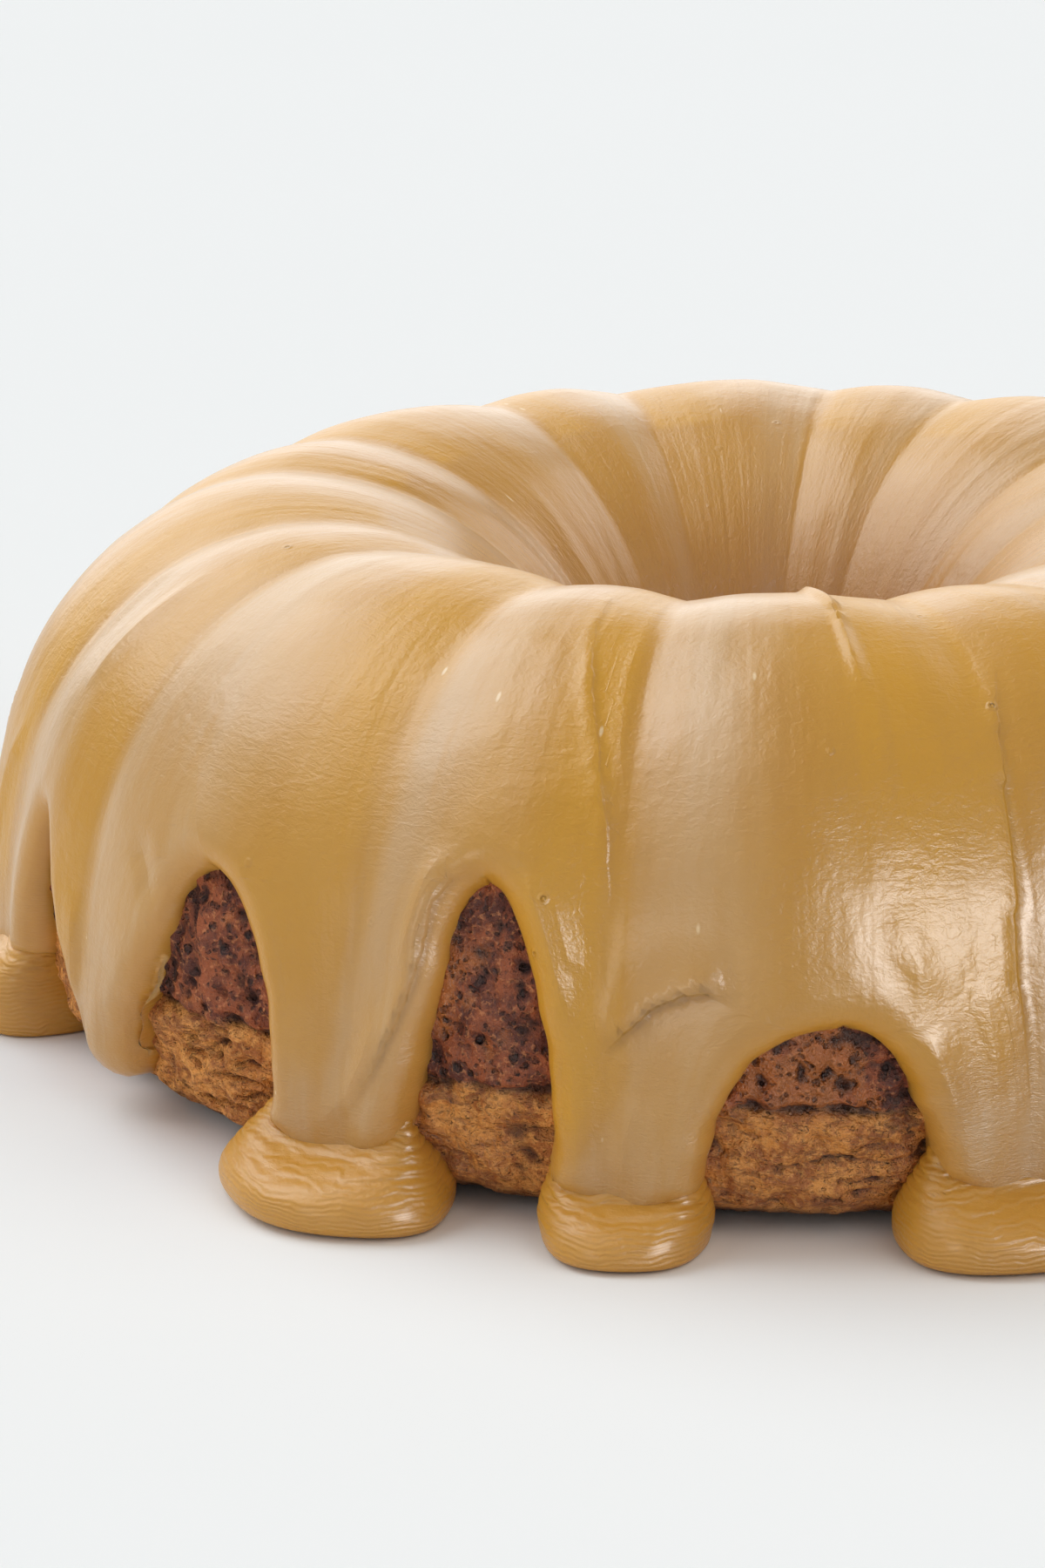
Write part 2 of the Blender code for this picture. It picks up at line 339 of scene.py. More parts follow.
def icing_layout(ring, icing):
    """Place, angle and flow line of every vertex, and the vertex numbers of the two regions.

    A flow line, named by its angle at the crest, runs on into a drip.
    """
    even = np.linspace(0, 1, COLUMNS + 1)
    across = 0.45 * even + 0.55 * (1 - np.cos(np.pi * even)) / 2
    places, angles, flows = [], [], []
    rows, split = np.linspace(0, 1, UPPER_ROWS + 1), HOLE_ROWS_SHARE
    for number in range(DRIPS):
        first, second, after = drip_sides(number)
        angle = (first.crown + (after - first.crown) * across[:-1])[:, None]
        crown = first.height + (second.height - first.height) * smooth(across[:-1])
        outer = outer_place(ring, crown * MM)[:, None]
        turn = np.radians(angle)
        wave = (np.sin(3 * turn + 1) + 0.5 * np.sin(7 * turn)) / 1.5
        inner = hole_place(ring, icing.hole_edge + 0.005 * wave)
        place = np.where(rows < split, inner + (1 - inner) * rows / split,
                         1 + (outer - 1) * (rows - split) / (1 - split))
        places.append(place.ravel())
        angles.append(np.broadcast_to(angle, place.shape).ravel())
        flows.append(angles[-1])
    count = DRIPS * place.size
    upper = np.arange(count).reshape(-1, UPPER_ROWS + 1).T
    lower = np.zeros((DRIPS, LOWER_ROWS + 1, COLUMNS + 1), int)
    down = np.linspace(0, 1, LOWER_ROWS + 1)[1:, None] ** 1.6
    for number in range(DRIPS):
        first, second, after = drip_sides(number)
        top = number * COLUMNS + np.arange(COLUMNS + 1)
        lower[number, 0] = upper[-1].take(top, mode="wrap")
        end = drip_end(number, across)
        left = first.height * MM + (end[0] - first.height * MM) * down
        right = second.height * MM + (end[-1] - second.height * MM) * down
        angle = drip_angles(number, across, left, right)
        between = smooth((angle - first.crown) / (after - first.crown))
        crown = (first.height + (second.height - first.height) * between) * MM
        height = crown + (end - crown) * down
        lower[number, 1:] = count + np.arange(height.size).reshape(height.shape)
        count += height.size
        places.append(outer_place(ring, height).ravel())
        angles.append(angle.ravel())
        flow = first.crown + (after - first.crown) * across
        flows.append(np.broadcast_to(flow, angle.shape).ravel())
    return np.concatenate(places), np.concatenate(angles), np.concatenate(flows), upper, lower


def icing_boundary(upper, lower):
    """Vertices along the shell's free edge: the hole's edge, and each drip's outline."""
    sides = [np.concatenate([grid[:, 0], grid[-1, 1:], grid[-2::-1, -1]]) for grid in lower]
    return [np.append(upper[0], upper[0, 0]), *sides]


def edge_distance(points, loops):
    """Distance of every point from the free edge."""
    lines = [points[loop] for loop in loops]
    samples = np.concatenate([line[:-1] + (line[1:] - line[:-1]) * step
                              for line in lines for step in (0, 0.25, 0.5, 0.75)])
    tree = kdtree.KDTree(len(samples))
    for index, sample in enumerate(samples):
        tree.insert(sample, index)
    tree.balance()
    return np.array([tree.find(point)[2] for point in points])


def grid_faces(grid):
    """Quads between the rows and columns of a grid of vertices."""
    corners = grid[:-1, :-1], grid[:-1, 1:], grid[1:, 1:], grid[1:, :-1]
    return np.stack(corners, -1).reshape(-1, 4).tolist()


def lining_faces(grid, free, twins, count):
    """Coarse faces of the shell's inside over one grid.

    It shares the vertices in free, on the free edge. Other corners get a twin, numbered in twins
    from count up.
    """
    faces = []

    def side(vertices):
        """Vertices from one corner up to the next: all of them along the free edge."""
        if free.issuperset(vertices):
            return vertices[:-1]
        first = vertices[0]
        return [first if first in free else twins.setdefault(first, count + len(twins))]

    for row in range(0, grid.shape[0] - 1, BLOCK):
        for column in range(0, grid.shape[1] - 1, BLOCK):
            cell = grid[row:row + BLOCK + 1, column:column + BLOCK + 1]
            sides = cell[:, 0], cell[-1], cell[::-1, -1], cell[0, ::-1]
            faces.append([vertex for line in sides for vertex in side(line.tolist())])
    return faces


# ---- Relief of the icing

# A fold runs through points (angle, height in mm), with its width and rise in mm. A ridge stands
# up, or is a dent where its rise is under 0. A crease is sharp: the icing to the right of its run
# stands over the icing to the left. A height over the crest counts on down the ring's inside.
Fold = namedtuple("Fold", "points width rise kind", defaults=("ridge",))
FOLDS = (
    Fold(((254, 84), (256.3, 77), (258.2, 70), (259.9, 60), (260.6, 48)), 1.2, 0.5, "crease"),
    Fold(((259.6, 84), (259.3, 77), (259.9, 70), (261.2, 61)), 1, 0.35),
    Fold(((291, 79), (289.2, 73.7), (288, 63.9), (287.6, 53.3), (287.3, 41.9), (287.6, 29.4),
          (288.1, 16)), 3, 0.65, "crease"),
    Fold(((276.1, 102), (276.6, 95), (277.2, 88), (278, 80.9), (278.9, 75)), 0.9, 1),
    Fold(((268.6, 39), (267.3, 39.2), (265.6, 38.8), (263.7, 36.7), (262.1, 33.1), (260.6, 29.5)),
         3.2, 1.4, "crease"),
    Fold(((251.2, 53.8), (249.6, 51.8), (248.4, 48), (248, 41), (247.4, 35), (246.4, 29),
          (245, 22.5), (243, 16)), 1.8, 0.9, "crease"),
    Fold(((249, 56), (247.8, 51), (247.2, 45), (246.5, 38)), 1.4, 0.7),
    Fold(((240.2, 12), (243, 18), (244.4, 25), (245.3, 32)), 1.6, 0.7),
    Fold(((254.6, 54), (255.5, 50.3), (256.8, 44.6), (257.6, 39), (258.2, 33)), 1.5, 0.8),
    Fold(((256.6, 52), (257.6, 46), (258.6, 40)), 1.4, 0.45),
    Fold(((258, 30), (257.9, 22), (258.4, 15)), 1.5, -0.6),
    Fold(((263, 24), (262, 17), (262, 11)), 2.4, 0.5),
    Fold(((221.8, 47), (223.8, 42.5), (225.2, 37)), 2, -0.6),
    Fold(((214.2, 34), (214.9, 24), (215.4, 14)), 2.2, 0.7),
    Fold(((226, 60), (229, 50), (231.5, 42), (234, 34)), 3, 0.5),
    Fold(((209, 79), (207.5, 70), (206.6, 60)), 2, 0.5),
    Fold(((279, 50), (280.2, 44), (282, 38)), 2, 0.35),
    Fold(((281, 34), (282.2, 27), (283.4, 20)), 1.8, 0.4),
    Fold(((284.9, 42), (285.3, 33), (285.8, 24)), 1.8, 0.4),
)


def fold_forms(ring, icing, cake, folds, points):
    """The folds at points on the cake's surface: the height they add, the distance to the nearest
    one's line, positive to its right, and how sharp a crease and a ridge it is."""
    relief, crease, ridge = np.zeros((3, len(points)))
    gap = np.full(len(points), 0.01)
    closest, second = np.full((2, len(points)), 9.0)
    for fold in folds:
        knots = np.arange(len(fold.points))
        steps = np.linspace(0, knots[-1], 12 * len(knots))
        angle, height = (np.interp(steps, knots, values) for values in zip(*fold.points))
        over = np.clip(height * MM - ring.crest_height, 0, 1) * 12
        line = cake_skin(ring, icing, cake, outer_place(ring, height * MM) + over, angle)
        fade = np.minimum(1, 4 * np.minimum(steps, steps[-1] - steps) / steps[-1])
        reach = max(3.0 * fold.width, 4.0) * MM
        near = (points > line.min(0) - reach) & (points < line.max(0) + reach)
        chosen = np.nonzero(near.all(axis=1))[0]
        if len(chosen) == 0:
            continue
        apart = np.linalg.norm(points[chosen][:, None] - line[None], axis=2)
        nearest = apart.argmin(axis=1)
        apart = apart[np.arange(len(chosen)), nearest]
        distance = apart / (fold.width * MM)
        run = np.gradient(line, axis=0)[nearest]
        offset = points[chosen] - line[nearest]
        right = np.einsum("ij,ij->i", np.cross(run, points[chosen]), offset) > 0
        form = np.exp(-distance ** 2)
        if fold.kind == "crease":
            form = np.where(right, np.exp(-0.5 * distance ** 2), -0.25 * np.exp(-3 * distance ** 2))
        relief[chosen] += fold.rise * MM * form * fade[nearest]
        closer = apart < closest[chosen]
        where = chosen[closer]
        second[chosen] = np.minimum(second[chosen], np.maximum(apart, closest[chosen]))
        closest[where] = apart[closer]
        gap[where] = np.where(right, apart, -apart)[closer]
        sharp = (fold.rise * fade[nearest] * smooth((4.0 * MM - apart) / (2.0 * MM)))[closer]
        crease[where] = sharp if fold.kind == "crease" else 0.0
        ridge[where] = 0.0 if fold.kind == "crease" else sharp
    alone = smooth((second - closest) / (1.6 * MM) - 0.2)
    return relief, gap, crease * alone, ridge * alone


# Patches of painted sheen and reflection, or of painted gold, for the warm light where no sheen falls,
# where the amount is under 0: angle and height in mm of the middle, spread in degrees and in mm,
# amount
PATCHES = (
    (238, 80, 7, 10, -1),
    (240, 26, 7, 14, 0.9),
    (290, 74, 10, 22, -1.4),
    (261, 22, 7, 12, -0.6),
    (222, 42, 22, 60, 0.45),
    (209, 50, 6, 20, 0.6),
    (225, 60, 7, 15, 0.4),
    (235, 58, 4, 12, 0.3),
    (257, 46, 4, 10, -0.7),
    (284, 22, 3.5, 9, 1.2),
)


def bloom(ring, place, angle):
    """Painted sheen, to 1, low down for the pale floor's reflection and where a flute side faces the
    window light; painted gold, to -1, elsewhere: the warm light where no sheen falls.
    """
    _, height = mean_point(ring, place)
    patches = np.zeros_like(angle)
    for middle, level, across, tall, amount in PATCHES:
        aside = (angle - middle + 180) % 360 - 180
        form = np.exp(-(aside / across) ** 2 - ((height / MM - level) / tall) ** 2)
        patches += amount * form * (place < 1.3)
    # A flute side that rises with the angle faces the window light and takes the painted sheen
    rise = flute(ring, angle + 2.0) - flute(ring, angle - 2.0)
    wave = 0.15 * np.sin(5 * np.radians(angle) + 4 * place)
    low = 1.5 * smooth(-0.05 - 1.6 * place)
    strewn = smooth(rise / 0.45 + wave + low) * (1 - 0.5 * smooth((place - 1) / 0.5))
    strewn = strewn - smooth(wave - rise / 0.45 - low) * (place < 1.2)
    return np.clip(strewn + patches, -1, 1)


def strewn_folds():
    """Folds like the named ones over the rest of the ring, and down inside the hole."""
    chance = random.Random(11)
    folds = []
    for number in range(64):
        angle = 292 + 270 * (number + chance.uniform(0, 0.8)) / 64
        top = chance.uniform(40, 79)
        bottom = max(top - chance.uniform(12, 36), 12)
        lean = chance.uniform(-2.5, 2.5)
        bend = chance.uniform(-1.2, 1.2)
        points = [(angle + lean * t + bend * math.sin(math.pi * t), top + (bottom - top) * t)
                  for t in (0.0, 0.33, 0.67, 1.0)]
        rise = chance.choice((-0.9, -0.5, 0.5, 0.8))
        kind = "crease" if chance.random() < 0.35 else "ridge"
        folds.append(Fold(tuple(points), chance.uniform(1.4, 2.6), rise, kind))
    return folds


def hole_creases(place, angle):
    """Radial folds of the icing on its way down into the hole."""
    turn = np.radians(angle)
    swing = 0.10 * np.sin(3 * place + 2 * turn)
    fine = np.sin(37 * (turn + swing)) * np.sin(11 * turn + 1.3)
    sharp = 1 - np.abs(np.sin(19 * (turn + 0.6 * swing) + 1.1 * np.sin(4 * turn)))
    part = smooth(0.5 + np.sin(3 * turn + 0.7))
    return smooth((place - 1.2) / 0.4) * MM * (0.11 * fine + (0.06 + 0.14 * part) * sharp ** 2)


def hollow(place, angle):
    """Painted shade down in the hole, darker and browner, up to 1, less so at its left, where the
    light reaches the wall.
    """
    return smooth((place - 1.25) / 0.5) * np.clip(0.48 + 0.52 * np.cos(np.radians(angle - 25)), 0, 1)


def tip_share(place, angle, height):
    """How much of a hanging tip the icing is, up to 1."""
    near = np.zeros_like(angle)
    for number, end in enumerate(ENDS):
        if isinstance(end, Tip):
            first, second, after = drip_sides(number)
            middle = (first.crown + first.right[-1] + after - second.left[-1]) / 2
            near += smooth(1 - np.abs((angle - middle + 180) % 360 - 180) / 6)
    return near * smooth((0.030 - height) / 0.022) * (place < 1)


def icing_lift(ring, icing, cake, place, angle, base, distance, folds):
    """Height of the icing's outside above the cake's surface."""
    _, height = mean_point(ring, place)
    low = smooth((0.042 - height) / 0.036) * (place < 1)
    tip = tip_share(place, angle, height)
    full = (icing.thickness + icing.swell * low + icing.tip_swell * tip
            + flute_height(ring, place, angle, icing.flute_side, icing.flute_crest)
            - flute_height(ring, place, angle, cake.flute_side, cake.flute_crest)
            + 0.55 * MM * grain(base, 0.040, 1, 2, (1, 1, 0.5))
            + 0.22 * MM * grain(base, 0.012, 2, 2, (1, 1, 0.35))
            + hole_creases(place, angle) + folds)
    x = np.clip(distance / (icing.lip * (1 + 0.9 * tip)), 0, 1)
    buried = 1.2 * MM
    return -buried + (full + buried) * np.sqrt(1 - (1 - x) ** 2)


# ---- Pieces

def mesh_object(name, points, faces):
    """Object at the origin from points and faces, shaded smooth."""
    mesh = bpy.data.meshes.new(name)
    mesh.from_pydata([tuple(point) for point in points], [], [tuple(map(int, f)) for f in faces])
    mesh.validate()
    mesh.shade_smooth()
    piece = bpy.data.objects.new(name, mesh)
    bpy.context.scene.collection.objects.link(piece)
    return piece


def select(pieces):
    """Select pieces alone, the first one active."""
    bpy.ops.object.select_all(action="DESELECT")
    for piece in reversed(pieces):
        piece.select_set(True)
        bpy.context.view_layer.objects.active = piece


def turn_faces_out(piece):
    """Recalculate the normals of a closed piece."""
    select([piece])
    bpy.ops.object.mode_set(mode="EDIT")
    bpy.ops.mesh.select_all(action="SELECT")
    bpy.ops.mesh.normals_make_consistent(inside=False)
    bpy.ops.object.mode_set(mode="OBJECT")


def get_points(piece):
    points = np.empty(len(piece.data.vertices) * 3, np.float32)
    piece.data.vertices.foreach_get("co", points)
    return points.reshape(-1, 3).astype(float)


def add_attributes(piece, **attributes):
    """Numbers or vectors per vertex, or one number for all, for the material."""
    for name, values in attributes.items():
        values = np.broadcast_to(values, np.shape(values) or len(piece.data.vertices))
        kind, field = ("FLOAT_VECTOR", "vector") if values.ndim == 2 else ("FLOAT", "value")
        layer = piece.data.attributes.new(name, kind, "POINT")
        layer.data.foreach_set(field, values.astype(np.float32).ravel())


def finish_piece(piece, material, node):
    """Give a piece its material and its place in the frame, after its CAD node."""
    piece.data.materials.append(material)
    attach(piece, "root")
    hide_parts(node)


def forms_of(scene):
    return scene.bundt_ring, scene.bundt_icing, scene.bundt_cake


class CAKE_OT_icing(bpy.types.Operator):
    """Model the poured shell of icing with its drips and arches"""
    bl_idname = "bundt.icing"
    bl_label = "Icing"

    def execute(self, context):
        ring, icing, cake = forms_of(context.scene)
        place, angle, flow, upper, lower = icing_layout(ring, icing)
        base = cake_skin(ring, icing, cake, place, angle)
        loops = icing_boundary(upper, lower)
        distance = edge_distance(base, loops)
        edge = np.concatenate(loops)
        distance[edge] = 0.0
        free = set(edge.tolist())
        forms = fold_forms(ring, icing, cake, FOLDS + tuple(strewn_folds()), base)
        lift = icing_lift(ring, icing, cake, place, angle, base, distance, forms[0])
        points = cake_skin(ring, icing, cake, place, angle, lift)
        outer, inner, twins, count = [], [], {}, len(points)
        for grid in (np.concatenate([upper, upper[:, :1]], axis=1), *lower):
            outer += grid_faces(grid)
            inner += lining_faces(grid, free, twins, count)
        every = np.concatenate([np.arange(count), list(twins)])
        place, angle = place[every], angle[every]
        lining = cake_skin(ring, icing, cake, place[count:], angle[count:], LINING_LIFT)
        piece = mesh_object("caramel_icing", np.concatenate([points, lining]), outer + inner)
        turn_faces_out(piece)
        edge = np.concatenate([distance, np.zeros(len(twins))])
        gap, crease, ridge = (values[every] for values in forms[1:])
        run = turned(FLOW_RADIUS, flow[every], FLOW_HEIGHT * np.abs(1 - place))
        add_attributes(piece, edge_distance=edge, puddle=0, fold_gap=gap, fold_crease=crease,
                       fold_ridge=ridge, bloom=bloom(ring, place, angle),
                       hollow=hollow(place, angle), flow=run)
        finish_piece(piece, caramel_material(icing), "icing")
        return {"FINISHED"}


def foot_points(foot, centre_angle, waist, seed, sphere):
    """Vertices of a unit ball moved to a puddle's form."""
    around = np.arctan2(sphere[:, 1], sphere[:, 0])
    rise = np.arcsin(np.clip(sphere[:, 2], -1, 1)) / (np.pi / 2)
    steps = (-1.0, -0.52, -0.38, -0.18, 0.04, 0.24, 0.44, 0.64, 0.84, 1.0)
    heights = (0.0, 0.0, 0.09, 0.31, 0.54, 0.68, 0.78, 0.89, 1.04, 1.20)
    shares = (0.78, 0.85, 0.965, 1.0, 0.89, 0.64, 0.36, 0.14, 0.03, 0.0)
    grow = curve(steps, shares, rise)
    z = curve(steps, heights, rise) * foot.height * MM
    z = z * (1 + 0.40 * np.sin(around) ** 2 * smooth((rise + 0.1) / 0.7))
    cap = np.sqrt(np.clip((1 - rise) / 0.14, 0, 1)) * np.clip((rise + 1) / 0.48, 0, 1)
    neck_width, neck_depth, neck_radius = 0.50 * waist, 4.2 * MM, 122.2 * MM
    half_width = (neck_width + (foot.width * MM / 2 - neck_width) * grow) * cap
    half_depth = (neck_depth + (foot.depth * MM / 2 - neck_depth) * grow) * cap
    centre = neck_radius + (foot.radius * MM - neck_radius) * grow
    outline = 1 + 0.035 * np.sin(2 * around + seed) + 0.022 * np.sin(5 * around + 2 * seed)
    shown = smooth((rise + 0.30) / 0.30) * smooth((0.95 - rise) / 0.1)
    warp = (0.40 * np.sin(around + seed) + 0.25 * np.sin(3 * around + 1.7 * seed)
            + 0.12 * np.sin(7 * around + 3 * seed))
    folds = np.abs(np.cos(np.pi * (z / (1.45 * MM) + warp)))
    ripple = (0.42 * smooth((rise - 0.02) / 0.30) + 0.10) * folds ** 0.8 * MM * shown
    slump = 0.7 * MM * smooth((rise + 0.4) / 0.5) * smooth((0.7 - rise) / 0.4)
    ripple = ripple + slump * np.sin(2 * around + 2.3 * seed) * np.sin(3 * rise + seed)
    out_x = np.cos(around) * (half_depth * outline + ripple)
    out_y = np.sin(around) * (half_width * outline + ripple)
    turn = math.radians(centre_angle)
    x = (centre + out_x) * math.cos(turn) - out_y * math.sin(turn)
    y = (centre + out_x) * math.sin(turn) + out_y * math.cos(turn)
    return np.stack([x, y, z], axis=-1)


class CAKE_OT_feet(bpy.types.Operator):
    """Model the rippled puddles in which the drips end"""
    bl_idname = "bundt.feet"
    bl_label = "Feet"

    def execute(self, context):
        feet = []
        for number, end in enumerate(ENDS):
            if isinstance(end, Tip):
                continue
            select([])
            bpy.ops.mesh.primitive_uv_sphere_add(segments=96, ring_count=80, radius=1.0)
            piece = context.object
            neck = end.height * 1.15 * MM
            angles = drip_angles(number, np.array([0.0, 1.0]), neck, neck)
            waist = math.radians(angles[1] - angles[0]) * end.radius * MM
            points = foot_points(end, angles.mean(), waist * 0.94, number, get_points(piece))
            piece.data.vertices.foreach_set("co", points.astype(np.float32).ravel())
            piece.data.update()
            feet.append(piece)
        select(feet)
        bpy.ops.object.join()
        piece = context.object
        piece.name = piece.data.name = "icing_feet"
        piece.data.shade_smooth()
        add_attributes(piece, edge_distance=0.01, puddle=1, fold_gap=0.01, fold_crease=0,
                       fold_ridge=0, bloom=0, hollow=0, flow=get_points(piece))
        finish_piece(piece, caramel_material(context.scene.bundt_icing), "icing")
        return {"FINISHED"}


# ---- The cake

CAKE_COLUMNS = 1000
WALL_ROWS = 40
BAND_ROWS = 33
ROUGH_TOP = 0.056


def cake_rows(ring, icing, cake, angle):
    """Points at angles, one row of them after another down the cake's outline."""
    places = (*np.linspace(1.95, 0.45, 18),
              *np.linspace(0.42, outer_place(ring, cake.ledge), WALL_ROWS))
    rows = [cake_skin(ring, icing, cake, place, angle) for place in places]
    top = np.hypot(*rows[-1].T[:2])
    belly = cake.band_radius + 0.5 * flute(ring, angle) * cake.flute_side
    for z in cake.ledge * (1 - np.linspace(0, 1, BAND_ROWS + 1)[1:]):
        round_share = np.sqrt(1 - np.clip(1 - z / cake.band_height, 0, 1) ** 2.4)
        above = smooth((z - cake.band_height) / (cake.ledge - cake.band_height))
        radius = cake.base_radius + (belly - cake.base_radius) * round_share
        radius = radius + (top - belly) * above
        rows.append(turned(radius, angle, z))
    hole = np.hypot(*cake_skin(ring, icing, cake, 2.0, angle).T[:2])
    for share_in in (0.35, 0.7):
        radius = radius * (1 - share_in) + hole * share_in
        rows.append(turned(radius, angle, 0.0))
    for rise in (0.0, 0.3, 0.6, 0.9):
        rows.append(turned(hole + 0.001 * (1 - rise), angle, rise * ring.hole_floor))
    return np.array(rows)


def pit_depth(points, size, seed):
    """Depth, 0 to 1, of small round pits strewn over points."""
    scaled = points / size + seed * 13.1
    nearest = np.array([noise.voronoi(Vector(p))[0][0] for p in scaled.tolist()])
    return smooth(1 - nearest / 0.62)


class CAKE_OT_cake(bpy.types.Operator):
    """Model the baked ring with its pitted crust and crumbly lower band"""
    bl_idname = "bundt.cake"
    bl_label = "Cake"

    def execute(self, context):
        ring, icing, cake = forms_of(context.scene)
        angle = np.linspace(0, 360, CAKE_COLUMNS + 1)[:-1]
        flat = cake_rows(ring, icing, cake, angle).reshape(-1, 3)
        numbers = np.arange(len(flat)).reshape(-1, CAKE_COLUMNS)
        faces = grid_faces(np.pad(numbers, (0, 1), "wrap"))
        radius = np.hypot(flat[:, 0], flat[:, 1])
        chosen = (radius > 0.5 * ring.iced_radius) & (flat[:, 2] > 0) & (flat[:, 2] < ROUGH_TOP)
        near = flat[chosen]
        height = near[:, 2]
        ledge = cake.ledge + 2.6 * MM * grain(near * (1, 1, 0), 0.030, 5, 3)
        crust = smooth((height - ledge) / (1.6 * MM) + 0.5)
        coarse = grain(near, 0.011, 7, 2)
        rough = grain(near, 0.0034, 10, 3)
        dark = (0.85 * rough + 0.6 * coarse - 1.2 * pit_depth(near, 0.0030, 6)) * MM
        crumb = (0.95 * rough + 0.8 * grain(near, 0.0065, 8, 3) + 1.1 * coarse
                 - 0.6 * pit_depth(near, 0.0034, 12)) * MM
        crack = grain(near, 0.009, 9, 3, (0.45, 0.45, 2.0))
        where = smooth(0.4 + 2.5 * grain(near, 0.020, 13, 2)) * smooth((height - 3 * MM) / (3 * MM))
        crumb = crumb - 1.6 * MM * np.exp(-(crack / 0.06) ** 2) * where
        lip = np.exp(-((height - ledge) / (0.9 * MM)) ** 2) * smooth(0.5 + 3 * coarse)
        relief = dark * crust + crumb * (1 - crust) - 1.5 * MM * lip
        relief = relief * smooth(height / (1.5 * MM)) * smooth((ROUGH_TOP - height) / (4 * MM))
        outward = near * (1, 1, 0) / np.maximum(radius[chosen], 1e-6)[:, None]
        flat[chosen] += outward * relief[:, None]
        piece = mesh_object("cake_crumb", flat, faces)
        turn_faces_out(piece)
        crust_share, depth = np.ones(len(flat)), np.zeros(len(flat))
        crust_share[chosen], depth[chosen] = crust, relief / MM
        add_attributes(piece, crust=crust_share, relief=depth)
        finish_piece(piece, cake_material(cake), "cake")
        return {"FINISHED"}


# ---- Materials

class Socket:
    """A node's output, with Math nodes for its operators."""

    def __init__(self, shader, socket):
        self.shader = shader
        self.socket = socket

    def math(self, operation, *others):
        return self.shader.node("ShaderNodeMath", {"operation": operation}, (self,) + others)

    def __add__(self, other):
        return self.math("ADD", other)

    def __sub__(self, other):
        return self.math("SUBTRACT", other)

    def __mul__(self, other):
        return self.math("MULTIPLY", other)

    def __rsub__(self, other):
        return self.shader.node("ShaderNodeMath", {"operation": "SUBTRACT"}, (other, self))

    __radd__ = __add__
    __rmul__ = __mul__

    def clamp(self):
        return self.shader.node("ShaderNodeClamp", {}, (self,))

    def step(self, low, high):
        """0 below low, 1 above high, smooth between."""
        values = {"Value": self, "From Min": low, "From Max": high}
        return self.shader.node("ShaderNodeMapRange", {"interpolation_type": "SMOOTHSTEP"}, values)


class Shader:
    """Builds one material's nodes."""

    def __init__(self, name):
        self.material = bpy.data.materials.new(name)
        self.material.use_nodes = True
        self.tree = self.material.node_tree
        self.surface = self.tree.nodes["Principled BSDF"]

    def node(self, kind, settings, values, output=0):
        """Output of a new node, with its settings and then its inputs set."""
        made = self.tree.nodes.new(kind)
        for key, value in settings.items():
            setattr(made, key, value)
        pairs = values.items() if isinstance(values, dict) else enumerate(values)
        for key, value in pairs:
            self.put(made.inputs[key], value)
        return Socket(self, made.outputs[output])

    def put(self, place, value):
        """Link a Socket or set a value."""
        if isinstance(value, Socket):
            self.tree.links.new(value.socket, place)
        else:
            place.default_value = value

    def coordinates(self):
        return self.node("ShaderNodeTexCoord", {}, (), "Object")

    def attribute(self, name, output="Fac"):
        return self.node("ShaderNodeAttribute", {"attribute_name": name}, (), output)

    def scaled(self, vector, scale):
        return self.node("ShaderNodeMapping", {}, {"Vector": vector, "Scale": scale})

    def noise(self, vector, size, detail=3.0, roughness=0.5, distortion=0.0, output="Fac"):
        values = {"Vector": vector, "Scale": 1 / size, "Detail": detail, "Roughness": roughness,
                  "Distortion": distortion}
        return self.node("ShaderNodeTexNoise", {}, values, output)

    def cells(self, vector, size, output="Distance"):
        return self.node("ShaderNodeTexVoronoi", {}, {"Vector": vector, "Scale": 1 / size}, output)

    def part(self, kind, value, index):
        """One channel or axis of a colour or vector."""
        return self.node("ShaderNodeSeparate" + kind, {}, (value,), index)

    def mix(self, base, *layers):
        """A base under layers of (amount, colour)."""
        for amount, colour in layers:
            first, second = (value if isinstance(value, Socket) else (*value, 1)
                             for value in (base, colour))
            values = {0: amount, 6: first, 7: second}
            base = self.node("ShaderNodeMix", {"data_type": "RGBA"}, values, 2)
        return base

    def bump(self, *layers):
        """Bumps over each other, each of (height, distance, strength)."""
        normal = {}
        for height, distance, strength in layers:
            values = {"Height": height, "Distance": distance, "Strength": strength, **normal}
            normal = {"Normal": self.node("ShaderNodeBump", {}, values, "Normal")}
        return normal["Normal"]

    def finish(self, **inputs):
        for name, value in inputs.items():
            self.put(self.surface.inputs[name.replace("_", " ")], value)
        return self.material


